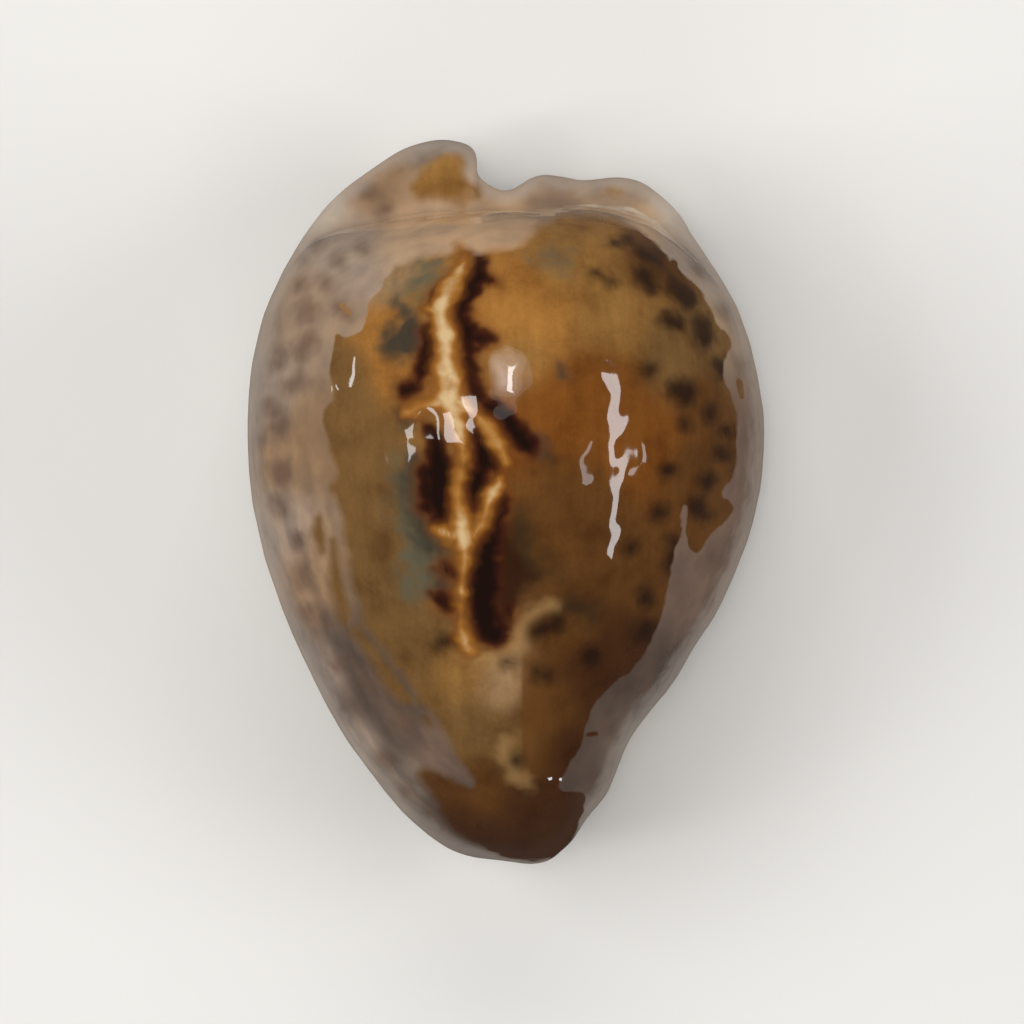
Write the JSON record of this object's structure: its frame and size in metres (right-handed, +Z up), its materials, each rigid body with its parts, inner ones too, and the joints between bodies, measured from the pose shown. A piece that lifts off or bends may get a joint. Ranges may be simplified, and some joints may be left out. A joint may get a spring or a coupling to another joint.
{
  "type": "cowrie shell",
  "caption": "Glossy humped cowrie shell, one hollow piece with a thick rounded margin, a flat base and a long smooth aperture that opens at both ends.",
  "frame": {"origin": "on the surface that the shell rests on, under the middle of its outline seen from above", "axes": "+Z up with the humped back on top and the aperture below; +Y towards the broad hind end with the notch; -Y towards the narrow front end"},
  "size_m": [0.0355, 0.05, 0.0283],
  "materials": {
    "shell": "glossy natural shell enamel"
  },
  "bodies": {
    "root": {"shell": "shell"}
  },
  "joints": []
}
